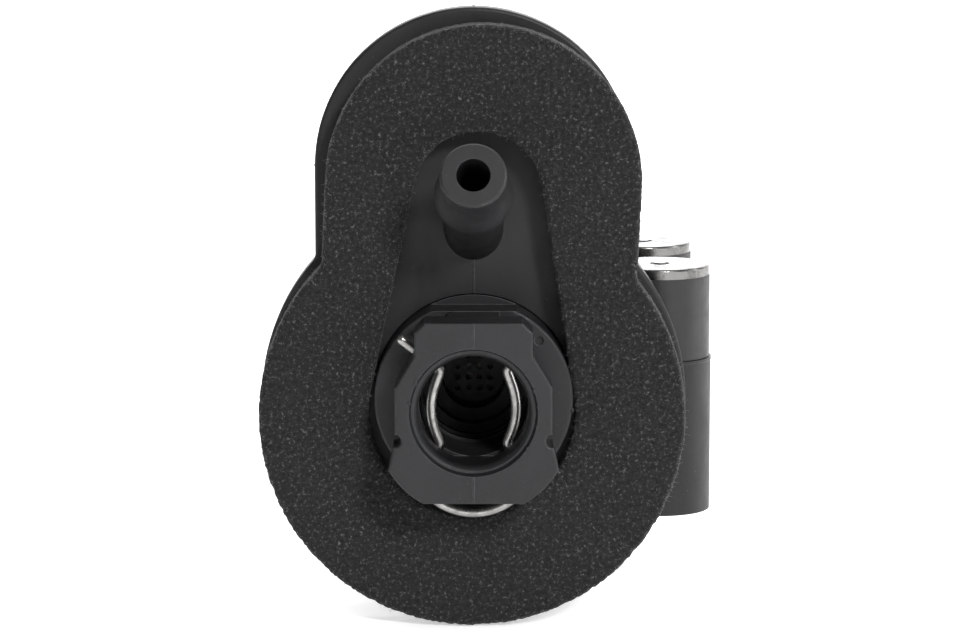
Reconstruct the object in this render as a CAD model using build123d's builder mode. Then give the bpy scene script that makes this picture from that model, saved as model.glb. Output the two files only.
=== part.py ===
# Electric toilet inlet valve: a flange with a foam seal, a quick-connect inlet socket and a hose
# nipple on its front, and a manifold with two solenoid valves behind it.
#
# Millimetres, +Z up. The origin is on the axis of the inlet socket, in the front face of the
# flange plate. The front of the valve faces -Y.

from build123d import *

import os
from math import acos, atan2, cos, radians, sin, sqrt, tan

# Front plate
PLATE_THICKNESS = 4.0
PLATE_LOWER_RADIUS = 30.0
PLATE_UPPER_RADIUS = 22.3
PLATE_CENTRE_Z = -1.0
PLATE_SPACING = 33.0
WAIST_FILLET = 1.5
PLATE_EDGE_FILLET = 0.5
NUB_RADIUS = 0.5
NUB_SINK = 0.35
MOULD_LINE_WIDTH = 0.25
MOULD_LINE_HEIGHT = 0.08
HUB_CLEARANCE = 0.15

# Foam seal
FOAM_THICKNESS = 6.0
FOAM_LOWER_RADIUS = 29.8
FOAM_UPPER_RADIUS = 21.9
FOAM_CENTRE = (-0.2, -2.6)
FOAM_SPACING = 32.9
FOAM_TURN = 2.8
KEYHOLE_LOWER_RADIUS = 14.6
KEYHOLE_UPPER_RADIUS = 9.1
KEYHOLE_LOWER_CENTRE = (-0.1, 0.4)
KEYHOLE_UPPER_CENTRE = (-0.7, 31.1)

# Hose nipples
NIPPLE_ROOT_Z = 23.4
NIPPLE_TILT = 23.5
NIPPLE_LENGTH = 25.0
NIPPLE_SINK = 2.0
NIPPLE_TIP_RADIUS = 4.5
NIPPLE_TIP_ROUND = 0.25
NIPPLE_TIP_LAND = 4.0
NIPPLE_BULGE_RADIUS = 5.4
NIPPLE_BULGE_START = 11.3
NIPPLE_BULGE_AT = 15.5
NIPPLE_NECK_RADIUS = 4.2
NIPPLE_BORE_RADIUS = 2.3

# Quick-connect inlet socket
HEAD_FRONT = -17.2
HEAD_BACK = -11.2
HEAD_EDGE_FILLET = 0.35
HUB_FRONT = -6.5
HUB_RADIUS = 13.9
HUB_BACK = 2.6
BORE_RADIUS = 7.6
BORE_STOP = 9.5
LIP_RADIUS = 8.85
LIP_STEP = 0.9
LIP_MOUTH_RADIUS = 8.5
LIP_LEDGE_RADIUS = 8.25
LIP_LEAD = 1.2
LIP_SAGITTA = 0.2
NECK_RADIUS = 9.8
CLIP_WINDOW_BACK = -8.6
UPPER_BRIDGE_HALF_WIDTH = 3.6
LOWER_BRIDGE_HALF_WIDTH = 3.2
BRIDGE_REACH = 12.4
CLAMP_FLANGE_RADIUS = 15.6
CLAMP_FLANGE_BACK = 6.5
SPIGOT_RADIUS = 11.0
SPIGOT_BACK = 12.0
SEAT_BORE_RADIUS = 6.4
SEAL_GROOVE_RADIUS = 9.3
SEAL_GROOVE_WIDTH = 2.4
SEAL_GROOVES = (1.6, 5.4)
INLET_SEAL_CENTRE = 8.46
INLET_SEAL_SECTION = 0.84
SPIGOT_GROOVE_RADIUS = 9.7
SPIGOT_GROOVE_Y = 9.6
SPIGOT_GROOVE_WIDTH = 1.9
SPIGOT_SEAL_CENTRE = 10.38
SPIGOT_SEAL_SECTION = 0.66
DIMPLE_CENTRE = (9.1, 8.3)
DIMPLE_RADIUS = 0.65
DIMPLE_DEPTH = 0.4
NOTCH_RADIUS = 0.85
NOTCH_CENTRE = (10.8, -3.9)
HUB_FLAT_Z = 12.5
HUB_FLAT_BACK = -0.3

# Wire clip: right half as (x, z), from the elbow at the bow to the wire end. The left end is
# flared further out.
WIRE_RADIUS = 0.75
CLIP_Y = -9.9
BOW_RADIUS = 8.75
BOW_CENTRE_Z = -6.55
CLIP_ELBOW = (12.0, -4.4)
CLIP_FOOT = (4.0, -7.1)
CLIP_MIDDLE = (6.5, -0.7)
CLIP_SHOULDER = (4.5, 4.95)
CLIP_TIP = (7.2, 7.2)
CLIP_FLARED_TIP = (9.9, 9.0)
CLIP_BENDS = (1.0, 9.5, 1.0, 1.0)

# Manifold
GASKET_THICKNESS = 0.8
MANIFOLD_FRONT = PLATE_THICKNESS + GASKET_THICKNESS
FLANGE_BACK = 8.8
FLANGE_RADIUS = 17.6
TAB_HALF_WIDTH = 8.0
TAB_LOW_Z = -22.5
EAR_RADIUS = 3.4
SCREW_PLACES = ((9.3, 16.1), (-9.3, 16.1), (8.0, -22.5), (-8.0, -22.5), (8.4, 26.4), (-8.4, 26.4))
SCREW_RADIUS = 1.48
SCREW_PILOT_RADIUS = 1.5
SCREW_HOLE_RADIUS = 1.7
SCREW_GRIP = 3.1
PILOT_RELIEF = 0.1
SCREW_HEAD_RADIUS = 2.7
SCREW_HEAD_HEIGHT = 1.9
SCREW_SLOT = (3.4, 0.7)
SCREW_SLOT_DEPTH = 1.0
PORT_HOLE_RADIUS = 3.0
CLAMP_RECESS_RADIUS = 15.7
CLAMP_RECESS_BACK = 6.55
MOUTH_RADIUS = 11.06
MOUTH_BACK = 12.2
MOUTH_OUTER_RADIUS = 13.0
MOUTH_OUTER_BACK = 14.0
CHAMBER_RADIUS = 8.5
CHAMBER_BACK = 29.2
CHAMBER_OUTER_RADIUS = 10.5
CHAMBER_OUTER_BACK = 31.0
GALLERY_RADIUS = 5.0
GALLERY_BACK = 38.0
GALLERY_OUTER_RADIUS = 7.0
GALLERY_OUTER_BACK = 40.0
PASSAGE_RADIUS = 1.6
PASSAGE_OUTER_RADIUS = 2.55
RISER_RADIUS = 3.6
RISER_X = -14.0
RISER_Y = 14.0
RISER_HEAD = 4.6
ARM_END_X = -18.4
SUPPLY_Y = 33.5
SUPPLY_ARM_END_X = -8.0
RAIL_X = 26.0
RAIL_END_Y = 47.0
REAR_NIPPLE_ROOT_X = 6.0
REAR_NIPPLE_COLLAR = 3.0
BRACKET_SPACING = (20.0, 17.0)
BRACKET_BOSS_RADIUS = 3.2
BRACKET_HOLE_RADIUS = 1.3
BRACKET_FRONT = 20.0
BRACKET_BACK = 30.0
BRACKET_DEPTH = 8.0
PLUG_SHANK_RADIUS = 1.6
PLUG_SHANK = 2.2
PLUG_HEAD_RADIUS = 2.4
PLUG_HEAD = 0.8

# Solenoid valves: each stands on the axis given here
SOLENOIDS = {"a": (26.9, 14.0), "b": (25.65, 39.0)}
BASE_Z = -19.4
BASE_FILLET = 0.6
TOWER_RADIUS = 7.49
TOWER_TOP = BASE_Z + 22.4
PARTING_RING_RADIUS = 7.56
PARTING_RING_HALF = 0.2
COIL_RADIUS = 7.26
COIL_TOP = BASE_Z + 34.3
CAP_TOP = BASE_Z + 35.8
CAP_RADIUS = 7.15
CAP_FILLET = 0.3
CAP_DISH_RADIUS = 1.4
CAP_DISH = 0.15
OUTLET_Z = BASE_Z + 2.6
CHAMBER_FLOOR = BASE_Z + 4.8
SEAT_TOP = BASE_Z + 6.2
SEAT_RADIUS = 1.9
SEAT_HOLE_RADIUS = 1.1
SUPPLY_Z = BASE_Z + 15.4
O_RING_SHELF = BASE_Z + 18.0
CUP_FLOOR = BASE_Z + 19.2
VALVE_CHAMBER_RADIUS = 3.6
O_RING_BORE_RADIUS = 4.7
CUP_RADIUS = 6.0
TUBE_FLANGE_RADIUS = 5.6
TUBE_FLANGE_THICKNESS = 0.6
TUBE_OUTER_RADIUS = 2.5
TUBE_INNER_RADIUS = 2.2
TUBE_TOP = BASE_Z + 33.0
TUBE_SEAL_SECTION = 0.55
TUBE_SEAL_CENTRE = 4.15
COIL_NECK_RADIUS = 5.95
COIL_BOTTOM = BASE_Z + 19.9
COIL_FLOOR = BASE_Z + 20.8
COIL_BORE_RADIUS = 5.4
YOKE_INNER_RADIUS = 4.8
YOKE_OUTER_RADIUS = 5.38
BOBBIN_BORE_RADIUS = 2.6
BOBBIN_CORE_RADIUS = 3.1
BOBBIN_FLANGE_RADIUS = 4.7
BOBBIN_FLANGE_THICKNESS = 0.7
BOBBIN_TOP = BASE_Z + 34.1
WINDING_INNER_RADIUS = 3.12
WINDING_OUTER_RADIUS = 4.5
CORE_BOTTOM = BASE_Z + 26.0
CORE_RADIUS = 2.17
STAKE_RADIUS = 0.87
STAKE_RISE = 0.15
PLUNGER_RADIUS = 2.14
PLUNGER_BOTTOM = BASE_Z + 6.7
PLUNGER_TOP = BASE_Z + 24.3
PLUNGER_BORE_RADIUS = 1.2
PLUNGER_BORE_FLOOR = BASE_Z + 21.0
PLUNGER_SEAL_RADIUS = 1.7
PLUNGER_SEAL_TOP = BASE_Z + 7.6
PLUNGER_SPRING_RADIUS = 0.8
PLUNGER_SPRING_WIRE = 0.15
PLUNGER_SPRING_PITCH = 0.9
PLUNGER_SPRING_LENGTH = 4.6
SPRING_END_GAP = 0.2
SEAL_LIFT = 0.05
SHROUD_LENGTH = 5.8
SHROUD_SIZE = (9.4, 7.0)
SHROUD_CORNER = 0.8
SHROUD_WALL = 1.0
SHROUD_ROOT = 6.0
SHROUD_FLOOR = 8.3
SHROUD_Z = BASE_Z + 28.4
TERMINAL_SIZE = (6.4, 1.2, 0.6)
TERMINAL_ROOT = 5.5
TERMINAL_SPACING = 3.6

# Cartridge parts in the inlet chamber
CARTRIDGE_RADIUS = 8.4
STRAINER_FRONT = 12.3
STRAINER_RIM = 1.0
STRAINER_BACK = 17.8
STRAINER_RADIUS = 5.2
STRAINER_WALL = 0.6
STRAINER_SLOTS = 12
STRAINER_SLOT = (0.9, 2.6)
STRAINER_HOLE_RADIUS = 0.4
STRAINER_HOLE_PITCH = 1.6
REGULATOR_FRONT = 18.2
REGULATOR_BACK = 20.4
REGULATOR_RECESS_RADIUS = 4.0
REGULATOR_RECESS = 1.2
REGULATOR_BORE_RADIUS = 1.8
WASHER_INNER_RADIUS = 1.5
WASHER_OUTER_RADIUS = 3.9
WASHER_FRONT = 18.3
WASHER_BACK = 19.35
WASHER_FILLET = 0.2
CAGE_FRONT = 20.6
CAGE_SEAT = 22.0
CAGE_SPIDER = 27.6
CAGE_BACK = 29.0
CAGE_SEAT_BORE = 3.6
CAGE_INNER_RADIUS = 7.4
CAGE_HUB_RADIUS = 2.0
CAGE_ARM_WIDTH = 1.6
POPPET_RADIUS = 5.0
POPPET_FRONT = 22.3
POPPET_BACK = 24.1
STEM_RADIUS = 1.15
STEM_BACK = 30.4
STEM_BORE_RADIUS = 1.22
CHECK_SEAL_INNER = 3.0
CHECK_SEAL_OUTER = 4.8
CHECK_SEAL_BACK = 22.8
CHECK_SPRING_RADIUS = 2.4
CHECK_SPRING_WIRE = 0.175
CHECK_SPRING_PITCH = 1.0
CHECK_SPRING_LENGTH = 3.0

TILT = radians(NIPPLE_TILT)
FRONT_NIPPLE_AXIS = (0, -cos(TILT), sin(TILT))
FRONT_NIPPLE_ROOT = (0, 0, NIPPLE_ROOT_Z)
NIPPLE_PORT_Z = NIPPLE_ROOT_Z - PLATE_THICKNESS * tan(TILT)
RISER_TOP = NIPPLE_PORT_Z + RISER_HEAD
TO_LEFT = (-1, 0, 0)
TO_RIGHT = (1, 0, 0)
TO_BACK = (0, 1, 0)
UP = (0, 0, 1)

# Ends of the moulded passages that are closed with plugs, and the way each end faces
PLUG_ENDS = (
    ((ARM_END_X, RISER_Y, OUTLET_Z), TO_LEFT),
    ((ARM_END_X, RISER_Y, NIPPLE_PORT_Z), TO_LEFT),
    ((RISER_X, RISER_Y, RISER_TOP), UP),
    ((SUPPLY_ARM_END_X, SUPPLY_Y, SUPPLY_Z), TO_LEFT),
    ((RAIL_X, RAIL_END_Y, SUPPLY_Z), TO_BACK),
)


def facing_front(y):
    """Plane at depth y facing the front, with local x to +X and local y to +Z."""
    return Plane.XZ.offset(-y)


def upright(x, y):
    """Profile plane through a vertical axis: local x is the radius and local y is Z."""
    return Plane(origin=(x, y, 0), x_dir=(1, 0, 0), z_dir=(0, -1, 0))


def save(builder, name):
    """Labels a finished piece and writes it to its own STEP file."""
    builder.part.label = name
    export_step(builder.part, f"parts/{name}.step")


def ring_profile(inner, outer, low, high):
    """Adds a rectangle to be revolved into a ring, with the radius along local x."""
    with Locations(((inner + outer) / 2, (low + high) / 2)):
        Rectangle(outer - inner, high - low)


def bar(start, direction, length, radius, mode=Mode.ADD):
    """Adds or cuts a round bar from start along direction."""
    with Locations(Plane(origin=start, z_dir=direction)):
        Cylinder(radius, length, align=(Align.CENTER, Align.CENTER, Align.MIN), mode=mode)


def make_turned(name, plane, axis, rings):
    """Writes a part turned about an axis from (inner, outer, low, high) rings."""
    with BuildPart() as piece:
        with BuildSketch(plane):
            for ring in rings:
                ring_profile(*ring)
        revolve(axis=axis)
    save(piece, name)


def make_o_rings(name, plane, axis, centres, section):
    """Writes one piece of equal O-rings turned about an axis."""
    with BuildPart() as rings:
        with BuildSketch(plane):
            with Locations(*centres):
                Circle(section)
        revolve(axis=axis)
    save(rings, name)


def make_spring(name, start, direction, length, pitch, radius, wire):
    """Writes a helical compression spring from start along direction."""
    with BuildPart() as spring:
        with BuildLine() as coil:
            Helix(pitch=pitch, height=length, radius=radius, center=start, direction=direction)
        with BuildSketch(Plane(origin=coil.line @ 0, z_dir=coil.line % 0)):
            Circle(wire)
        sweep(is_frenet=True)
    save(spring, name)


def figure_eight(lower_radius, upper_radius, spacing):
    """Flange outline: a circle with a round-topped tongue, filleted at the waist."""
    with BuildSketch() as outline:
        Circle(lower_radius)
        with Locations((0, spacing / 2)):
            Rectangle(2 * upper_radius, spacing)
        with Locations((0, spacing)):
            Circle(upper_radius)
        waist_y = sqrt(lower_radius**2 - upper_radius**2)
        waist = [v for v in outline.vertices() if abs(v.Y - waist_y) < WAIST_FILLET and abs(v.X) > 1]
        fillet(waist, WAIST_FILLET)
    return outline.sketch


def nipple_profile():
    """Half section of a solid hose nipple: local x is the radius, local y runs root to tip."""
    land_start = NIPPLE_LENGTH - NIPPLE_TIP_LAND
    round_start = NIPPLE_LENGTH - NIPPLE_TIP_ROUND
    face_radius = NIPPLE_TIP_RADIUS - NIPPLE_TIP_ROUND
    with BuildSketch() as section:
        with BuildLine():
            Line((0, -NIPPLE_SINK), (NIPPLE_NECK_RADIUS, -NIPPLE_SINK))
            Line((NIPPLE_NECK_RADIUS, -NIPPLE_SINK), (NIPPLE_NECK_RADIUS, NIPPLE_BULGE_START))
            Spline(
                (NIPPLE_NECK_RADIUS, NIPPLE_BULGE_START),
                (NIPPLE_BULGE_RADIUS, NIPPLE_BULGE_AT),
                (NIPPLE_TIP_RADIUS, land_start),
                tangents=((0.25, 1), (-0.1, 1)),
            )
            Line((NIPPLE_TIP_RADIUS, land_start), (NIPPLE_TIP_RADIUS, round_start))
            Line((NIPPLE_TIP_RADIUS, round_start), (face_radius, NIPPLE_LENGTH))
            Line((face_radius, NIPPLE_LENGTH), (0, NIPPLE_LENGTH))
            Line((0, NIPPLE_LENGTH), (0, -NIPPLE_SINK))
        make_face()
    return section.sketch


def head_outline():
    """Front view of the socket head: chamfered top, flared sides, bulged jaw and two notches."""
    jaw_start = (11.7, -8.0)
    jaw_end = (6.9, -12.7)
    jaw_bulge = 0.45
    top = HUB_FLAT_Z
    with BuildSketch() as outline:
        with BuildLine():
            Polyline((0, top), (6.7, top), (8.1, 11.1), (8.1, 7.95), (10.8, 3.5), (10.8, -3.9), jaw_start)
            SagittaArc(jaw_start, jaw_end, jaw_bulge)
            Line(jaw_end, (0, jaw_end[1]))
            mirror(about=Plane.YZ)
        make_face()
        with Locations(NOTCH_CENTRE, (-NOTCH_CENTRE[0], NOTCH_CENTRE[1])):
            Circle(NOTCH_RADIUS, mode=Mode.SUBTRACT)
    return outline.sketch


def flange_outline():
    """Manifold flange: a disc with a tab up to the nipple port, one below, and screw ears."""
    with BuildSketch() as outline:
        Circle(FLANGE_RADIUS)
        with Locations((0, (NIPPLE_PORT_Z + TAB_LOW_Z) / 2)):
            Rectangle(2 * TAB_HALF_WIDTH, NIPPLE_PORT_Z - TAB_LOW_Z)
        with Locations((0, NIPPLE_PORT_Z)):
            Circle(TAB_HALF_WIDTH)
        with Locations(*SCREW_PLACES):
            Circle(EAR_RADIUS)
    return outline.sketch


def make_front_plate():
    """Flange plate with the angled hose nipple moulded on it."""
    nub_x = PLATE_UPPER_RADIUS - NUB_SINK
    nub_z = PLATE_CENTRE_Z + PLATE_SPACING
    nub_y = PLATE_THICKNESS / 2
    line_low = HUB_RADIUS
    line_high = NIPPLE_ROOT_Z
    nipple_plane = Plane(origin=FRONT_NIPPLE_ROOT, x_dir=(1, 0, 0), z_dir=(0, -sin(TILT), -cos(TILT)))
    bore_lead = 8.0
    bore_start = (0, bore_lead * cos(TILT), NIPPLE_ROOT_Z - bore_lead * sin(TILT))
    plate_origin = (0, PLATE_THICKNESS, PLATE_CENTRE_Z)
    pilot_y = PLATE_THICKNESS - SCREW_GRIP - PILOT_RELIEF
    with BuildPart() as plate:
        with BuildSketch(Plane(origin=plate_origin, x_dir=(1, 0, 0), z_dir=(0, -1, 0))):
            add(figure_eight(PLATE_LOWER_RADIUS, PLATE_UPPER_RADIUS, PLATE_SPACING))
        extrude(amount=PLATE_THICKNESS)
        fillet(plate.edges().group_by(Axis.Y)[0], PLATE_EDGE_FILLET)
        # Runner nubs on the edge and the mould line up the front
        with Locations((-nub_x, nub_y, nub_z), (0, nub_y, nub_z + nub_x)):
            Sphere(NUB_RADIUS)
        with Locations((0, 0, (line_low + line_high) / 2)):
            Box(MOULD_LINE_WIDTH, 2 * MOULD_LINE_HEIGHT, line_high - line_low)
        with BuildSketch(nipple_plane):
            add(nipple_profile())
        revolve(axis=Axis(FRONT_NIPPLE_ROOT, FRONT_NIPPLE_AXIS))
        bar(bore_start, FRONT_NIPPLE_AXIS, bore_lead + NIPPLE_LENGTH + 1, NIPPLE_BORE_RADIUS, Mode.SUBTRACT)
        # Seat for the socket hub and its clamping flange
        bar((0, -1, 0), TO_BACK, PLATE_THICKNESS + 2, HUB_RADIUS + HUB_CLEARANCE, Mode.SUBTRACT)
        clamp_depth = PLATE_THICKNESS - HUB_BACK + HUB_CLEARANCE
        clamp_start = (0, PLATE_THICKNESS - clamp_depth, 0)
        bar(clamp_start, TO_BACK, clamp_depth + 1, CLAMP_RECESS_RADIUS, Mode.SUBTRACT)
        for x, z in SCREW_PLACES:
            bar((x, pilot_y, z), TO_BACK, PLATE_THICKNESS, SCREW_PILOT_RADIUS, Mode.SUBTRACT)
    save(plate, "front_plate")


def keyhole_outline():
    """Keyhole of the foam seal: two circles and their common tangents."""
    with BuildSketch() as keyhole:
        with Locations(KEYHOLE_LOWER_CENTRE):
            Circle(KEYHOLE_LOWER_RADIUS)
        with Locations(KEYHOLE_UPPER_CENTRE):
            Circle(KEYHOLE_UPPER_RADIUS)
        make_hull()
    return keyhole.sketch


def make_foam_seal():
    """Foam seal on the front of the plate, fitted slightly turned."""
    turn = radians(FOAM_TURN)
    foam_plane = Plane(
        origin=(FOAM_CENTRE[0], 0, FOAM_CENTRE[1]),
        x_dir=(cos(turn), 0, -sin(turn)),
        z_dir=(0, -1, 0),
    )
    with BuildPart() as foam:
        with BuildSketch(foam_plane):
            add(figure_eight(FOAM_LOWER_RADIUS, FOAM_UPPER_RADIUS, FOAM_SPACING))
            add(keyhole_outline(), mode=Mode.SUBTRACT)
        extrude(amount=FOAM_THICKNESS)
        fillet(foam.edges().group_by(Axis.Y)[0], PLATE_EDGE_FILLET)
    save(foam, "foam_seal")


def make_inlet_connector():
    """Quick-connect socket: head, clip window, hub, clamping flange and spigot."""
    ledge_y = HEAD_FRONT + LIP_STEP
    bore_y = ledge_y + LIP_LEAD
    bridge_height = BRIDGE_REACH - BORE_RADIUS
    bore_end = SPIGOT_BACK + 1
    with BuildPart() as connector:
        with BuildSketch(Plane.XY):
            ring_profile(0, HUB_RADIUS, HUB_FRONT, CLAMP_FLANGE_BACK)
            ring_profile(0, CLAMP_FLANGE_RADIUS, HUB_BACK, CLAMP_FLANGE_BACK)
            ring_profile(0, SPIGOT_RADIUS, CLAMP_FLANGE_BACK, SPIGOT_BACK)
        revolve(axis=Axis.Y)
        fillet(connector.edges().group_by(Axis.Y)[0], HEAD_EDGE_FILLET)
        flat_depth = HUB_FLAT_BACK - HUB_FRONT
        with Locations((0, HUB_FRONT, HUB_FLAT_Z)):
            Box(
                2 * HUB_RADIUS,
                flat_depth,
                HUB_RADIUS,
                align=(Align.CENTER, Align.MIN, Align.MIN),
                mode=Mode.SUBTRACT,
            )
        with BuildSketch(facing_front(HEAD_BACK)):
            add(head_outline())
        extrude(amount=HEAD_BACK - HEAD_FRONT)
        front_rim = connector.edges().group_by(Axis.Y)[0]
        fillet(front_rim, HEAD_EDGE_FILLET)
        with BuildSketch(facing_front(HUB_FRONT)):
            Circle(NECK_RADIUS)
        extrude(amount=HUB_FRONT - CLIP_WINDOW_BACK)
        # Bridges that join the head to the hub above and below the clip window
        with BuildSketch(facing_front(HUB_FRONT)):
            with Locations((0, BORE_RADIUS)):
                Rectangle(2 * UPPER_BRIDGE_HALF_WIDTH, bridge_height, align=(Align.CENTER, Align.MIN))
            with Locations((0, -BORE_RADIUS)):
                Rectangle(2 * LOWER_BRIDGE_HALF_WIDTH, bridge_height, align=(Align.CENTER, Align.MAX))
        extrude(amount=HUB_FRONT - HEAD_BACK)
        with Locations((0, HEAD_FRONT, 0)):
            Box(MOULD_LINE_WIDTH, 2 * MOULD_LINE_HEIGHT, 2 * BRIDGE_REACH)
        with BuildSketch(Plane.XY):
            with BuildLine():
                Polyline((0, HEAD_FRONT - 1), (LIP_RADIUS, HEAD_FRONT - 1), (LIP_RADIUS, HEAD_FRONT))
                Line((LIP_RADIUS, HEAD_FRONT), (LIP_MOUTH_RADIUS, ledge_y))
                Line((LIP_MOUTH_RADIUS, ledge_y), (LIP_LEDGE_RADIUS, ledge_y))
                SagittaArc((LIP_LEDGE_RADIUS, ledge_y), (BORE_RADIUS, bore_y), LIP_SAGITTA)
                Polyline((BORE_RADIUS, bore_y), (BORE_RADIUS, BORE_STOP), (SEAT_BORE_RADIUS, BORE_STOP))
                Polyline((SEAT_BORE_RADIUS, BORE_STOP), (SEAT_BORE_RADIUS, bore_end), (0, bore_end))
                Line((0, bore_end), (0, HEAD_FRONT - 1))
            make_face()
            for start in SEAL_GROOVES:
                ring_profile(SEAT_BORE_RADIUS, SEAL_GROOVE_RADIUS, start, start + SEAL_GROOVE_WIDTH)
        revolve(axis=Axis.Y, mode=Mode.SUBTRACT)
        with BuildSketch(Plane.XY):
            groove_back = SPIGOT_GROOVE_Y + SPIGOT_GROOVE_WIDTH
            ring_profile(SPIGOT_GROOVE_RADIUS, SPIGOT_RADIUS + 1, SPIGOT_GROOVE_Y, groove_back)
        revolve(axis=Axis.Y, mode=Mode.SUBTRACT)
        for x in (DIMPLE_CENTRE[0], -DIMPLE_CENTRE[0]):
            bar((x, HUB_FRONT - 1, DIMPLE_CENTRE[1]), TO_BACK, 1 + DIMPLE_DEPTH, DIMPLE_RADIUS, Mode.SUBTRACT)
    save(connector, "inlet_connector")


def make_retaining_clip():
    """Spring-wire clip: a bow below the head, two legs that cross the bore, and flared ends."""
    elbow_x, elbow_z = CLIP_ELBOW
    reach = sqrt(elbow_x**2 + (elbow_z - BOW_CENTRE_Z) ** 2)
    side_angle = atan2(elbow_z - BOW_CENTRE_Z, elbow_x) - acos(BOW_RADIUS / reach)
    side_x = BOW_RADIUS * cos(side_angle)
    side_z = BOW_CENTRE_Z + BOW_RADIUS * sin(side_angle)
    right = [CLIP_TIP, CLIP_SHOULDER, CLIP_MIDDLE, CLIP_FOOT, CLIP_ELBOW, (side_x, side_z)]
    left = [(-x, z) for x, z in (CLIP_FLARED_TIP, *right[1:])]
    with BuildPart() as clip:
        with BuildLine(facing_front(CLIP_Y)) as route:
            FilletPolyline(*left, radius=CLIP_BENDS)
            ThreePointArc(left[-1], (0, BOW_CENTRE_Z - BOW_RADIUS), right[-1])
            FilletPolyline(*reversed(right), radius=tuple(reversed(CLIP_BENDS)))
        ends = [route.line @ 0, route.line @ 1]
        with BuildSketch(Plane(origin=route.line @ 0, z_dir=route.line % 0)):
            Circle(WIRE_RADIUS)
        sweep(path=route.line)
        with Locations(*ends):
            Sphere(WIRE_RADIUS)
    save(clip, "retaining_clip")


def make_socket_seals():
    """O-rings of the socket bore and of the spigot."""
    bore_seals = [(INLET_SEAL_CENTRE, start + SEAL_GROOVE_WIDTH / 2) for start in SEAL_GROOVES]
    make_o_rings("inlet_o_rings", Plane.XY, Axis.Y, bore_seals, INLET_SEAL_SECTION)
    spigot_seal = (SPIGOT_SEAL_CENTRE, SPIGOT_GROOVE_Y + SPIGOT_GROOVE_WIDTH / 2)
    make_o_rings("spigot_o_ring", Plane.XY, Axis.Y, [spigot_seal], SPIGOT_SEAL_SECTION)


def make_strainer():
    """Cup strainer with slotted sides and a drilled end."""
    inner = STRAINER_RADIUS - STRAINER_WALL
    slot_middle = (STRAINER_FRONT + STRAINER_RIM + STRAINER_BACK - STRAINER_WALL) / 2
    slot_width, slot_length = STRAINER_SLOT
    with BuildPart() as strainer:
        with BuildSketch(Plane.XY):
            ring_profile(inner, CARTRIDGE_RADIUS, STRAINER_FRONT, STRAINER_FRONT + STRAINER_RIM)
            ring_profile(inner, STRAINER_RADIUS, STRAINER_FRONT, STRAINER_BACK)
            ring_profile(0, STRAINER_RADIUS, STRAINER_BACK - STRAINER_WALL, STRAINER_BACK)
        revolve(axis=Axis.Y)
        for i in range(STRAINER_SLOTS):
            with Locations(Location((0, slot_middle, 0), (0, 360 * i / STRAINER_SLOTS, 0))):
                Box(
                    slot_width,
                    slot_length,
                    2 * STRAINER_RADIUS,
                    align=(Align.CENTER, Align.CENTER, Align.MIN),
                    mode=Mode.SUBTRACT,
                )
        with BuildSketch(facing_front(STRAINER_BACK + 1)):
            with GridLocations(STRAINER_HOLE_PITCH, STRAINER_HOLE_PITCH, 4, 4):
                Circle(STRAINER_HOLE_RADIUS)
        extrude(amount=2 + STRAINER_WALL, mode=Mode.SUBTRACT)
    save(strainer, "inlet_strainer")


def make_flow_regulator():
    """Seat plate of the flow regulator and the rubber washer in its recess."""
    recess_back = REGULATOR_FRONT + REGULATOR_RECESS
    make_turned(
        "flow_regulator_seat",
        Plane.XY,
        Axis.Y,
        [
            (REGULATOR_RECESS_RADIUS, CARTRIDGE_RADIUS, REGULATOR_FRONT, recess_back),
            (REGULATOR_BORE_RADIUS, CARTRIDGE_RADIUS, recess_back, REGULATOR_BACK),
        ],
    )
    with BuildPart() as washer:
        with BuildSketch(Plane.XY):
            ring_profile(WASHER_INNER_RADIUS, WASHER_OUTER_RADIUS, WASHER_FRONT, WASHER_BACK)
        revolve(axis=Axis.Y)
        fillet(washer.edges().filter_by(GeomType.CIRCLE), WASHER_FILLET)
    save(washer, "flow_regulator_washer")


def make_check_valve():
    """Non-return valve: cage with its seat and spider, poppet with its seal, and spring."""
    with BuildPart() as cage:
        with BuildSketch(Plane.XY):
            ring_profile(CAGE_SEAT_BORE, CARTRIDGE_RADIUS, CAGE_FRONT, CAGE_SEAT)
            ring_profile(CAGE_INNER_RADIUS, CARTRIDGE_RADIUS, CAGE_SEAT, CAGE_BACK)
        revolve(axis=Axis.Y)
        with BuildSketch(facing_front(CAGE_BACK)):
            Circle(CAGE_HUB_RADIUS)
            Rectangle(2 * CAGE_INNER_RADIUS + 0.5, CAGE_ARM_WIDTH)
            Rectangle(CAGE_ARM_WIDTH, 2 * CAGE_INNER_RADIUS + 0.5)
            Circle(STEM_BORE_RADIUS, mode=Mode.SUBTRACT)
        extrude(amount=CAGE_BACK - CAGE_SPIDER)
    save(cage, "check_valve_cage")
    make_turned(
        "check_poppet",
        Plane.XY,
        Axis.Y,
        [
            (0, CHECK_SEAL_INNER, POPPET_FRONT, POPPET_BACK),
            (0, POPPET_RADIUS, CHECK_SEAL_BACK, POPPET_BACK),
            (CHECK_SEAL_OUTER, POPPET_RADIUS, POPPET_FRONT, POPPET_BACK),
            (0, STEM_RADIUS, POPPET_BACK, STEM_BACK),
        ],
    )
    seal_ring = (CHECK_SEAL_INNER, CHECK_SEAL_OUTER, CAGE_SEAT + SEAL_LIFT, CHECK_SEAL_BACK)
    make_turned("check_poppet_seal", Plane.XY, Axis.Y, [seal_ring])
    make_spring(
        "check_spring",
        (0, POPPET_BACK + CHECK_SPRING_WIRE + SEAL_LIFT, 0),
        TO_BACK,
        CHECK_SPRING_LENGTH,
        CHECK_SPRING_PITCH,
        CHECK_SPRING_RADIUS,
        CHECK_SPRING_WIRE,
    )


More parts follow.
